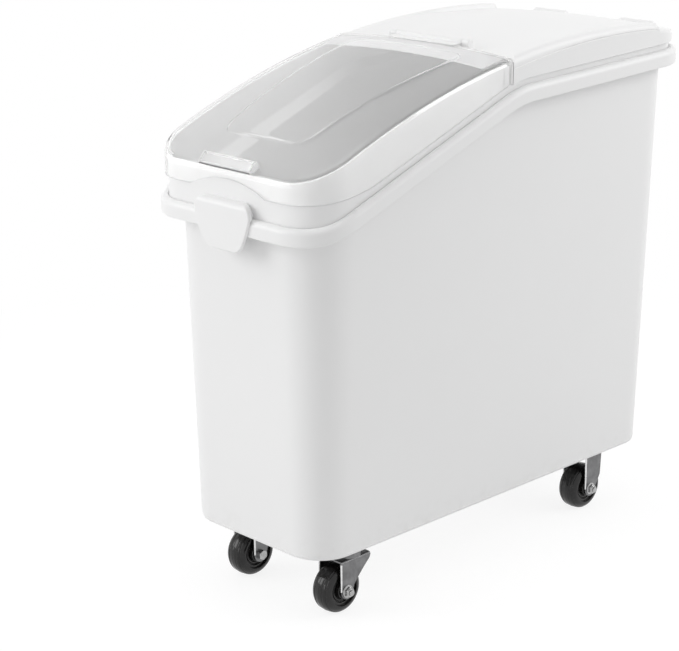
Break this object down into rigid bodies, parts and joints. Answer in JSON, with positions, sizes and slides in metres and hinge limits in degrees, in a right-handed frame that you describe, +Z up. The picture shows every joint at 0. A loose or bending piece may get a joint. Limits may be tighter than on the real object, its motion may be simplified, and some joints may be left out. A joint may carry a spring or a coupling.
{
  "type": "rolling ingredient bin",
  "caption": "Slant-top rolling ingredient bin: drafted tub with a rolled rim and front pull, arched rear lid, clear flip-up front lid, swivel casters in front and rigid ones behind.",
  "frame": {"origin": "on the floor, under the middle of the bin's box", "axes": "+Z up, -Y towards the front pull and clear lid, +X to the right seen from the front"},
  "size_m": [0.332, 0.752, 0.732],
  "materials": {
    "tub_plastic": "satin moulded white polyethylene",
    "lid_plastic": "satin moulded white polypropylene",
    "clear_plastic": "clear glossy polycarbonate",
    "insert_brass": "machined brass",
    "tyre_rubber": "black hard rubber",
    "wheel_plastic": "black moulded plastic",
    "zinc_sheet": "zinc-plated pressed steel",
    "zinc_fastener": "zinc-plated steel"
  },
  "bodies": {
    "bin": {"bin_body": "tub_plastic", "caster_screws": "zinc_fastener", "screw_inserts": "insert_brass", "front_right_top_plate": "zinc_sheet", "front_right_swivel_balls": "zinc_fastener", "front_right_kingpin": "zinc_fastener", "front_right_kingpin_nut": "zinc_fastener", "rear_right_bracket": "zinc_sheet", "rear_right_axle_bolt": "zinc_fastener", "rear_right_axle_nut": "zinc_fastener", "rear_right_axle_washers": "zinc_fastener", "rear_right_hub_bush": "zinc_fastener", "front_left_top_plate": "zinc_sheet", "front_left_swivel_balls": "zinc_fastener", "front_left_kingpin": "zinc_fastener", "front_left_kingpin_nut": "zinc_fastener", "rear_left_bracket": "zinc_sheet", "rear_left_axle_bolt": "zinc_fastener", "rear_left_axle_nut": "zinc_fastener", "rear_left_axle_washers": "zinc_fastener", "rear_left_hub_bush": "zinc_fastener"},
    "rear_lid": {"rear_lid": "lid_plastic", "lid_hinge_pin": "lid_plastic"},
    "front_lid": {"front_lid": "clear_plastic"},
    "front_right_swivel": {"front_right_fork": "zinc_sheet", "front_right_axle_bolt": "zinc_fastener", "front_right_axle_nut": "zinc_fastener", "front_right_axle_washers": "zinc_fastener", "front_right_hub_bush": "zinc_fastener"},
    "front_right_wheel": {"front_right_wheel_core": "wheel_plastic", "front_right_tyre": "tyre_rubber"},
    "rear_right_wheel": {"rear_right_wheel_core": "wheel_plastic", "rear_right_tyre": "tyre_rubber"},
    "front_left_swivel": {"front_left_fork": "zinc_sheet", "front_left_axle_bolt": "zinc_fastener", "front_left_axle_nut": "zinc_fastener", "front_left_axle_washers": "zinc_fastener", "front_left_hub_bush": "zinc_fastener"},
    "front_left_wheel": {"front_left_wheel_core": "wheel_plastic", "front_left_tyre": "tyre_rubber"},
    "rear_left_wheel": {"rear_left_wheel_core": "wheel_plastic", "rear_left_tyre": "tyre_rubber"}
  },
  "joints": [
    {"name": "rear_lid_lift", "type": "slide", "parent": "bin", "child": "rear_lid", "axis": [0, 0, 1], "range_m": [0, 0.12]},
    {"name": "front_lid_flip", "type": "hinge", "parent": "rear_lid", "child": "front_lid", "pos_m": [0, 0.002, 0.72357], "axis": [-1, 0, 0], "range_deg": [0, 180]},
    {"name": "front_right_swivel_turn", "type": "hinge", "parent": "bin", "child": "front_right_swivel", "pos_m": [0.085, -0.2475, 0.08], "axis": [0, 0, 1], "continuous": true},
    {"name": "front_right_wheel_spin", "type": "hinge", "parent": "front_right_swivel", "child": "front_right_wheel", "pos_m": [0.085, -0.2635, 0.034], "axis": [1, 0, 0], "continuous": true},
    {"name": "rear_right_wheel_spin", "type": "hinge", "parent": "bin", "child": "rear_right_wheel", "pos_m": [0.085, 0.246, 0.034], "axis": [1, 0, 0], "continuous": true},
    {"name": "front_left_swivel_turn", "type": "hinge", "parent": "bin", "child": "front_left_swivel", "pos_m": [-0.085, -0.2475, 0.08], "axis": [0, 0, 1], "continuous": true},
    {"name": "front_left_wheel_spin", "type": "hinge", "parent": "front_left_swivel", "child": "front_left_wheel", "pos_m": [-0.085, -0.2635, 0.034], "axis": [1, 0, 0], "continuous": true},
    {"name": "rear_left_wheel_spin", "type": "hinge", "parent": "bin", "child": "rear_left_wheel", "pos_m": [-0.085, 0.246, 0.034], "axis": [1, 0, 0], "continuous": true}
  ]
}
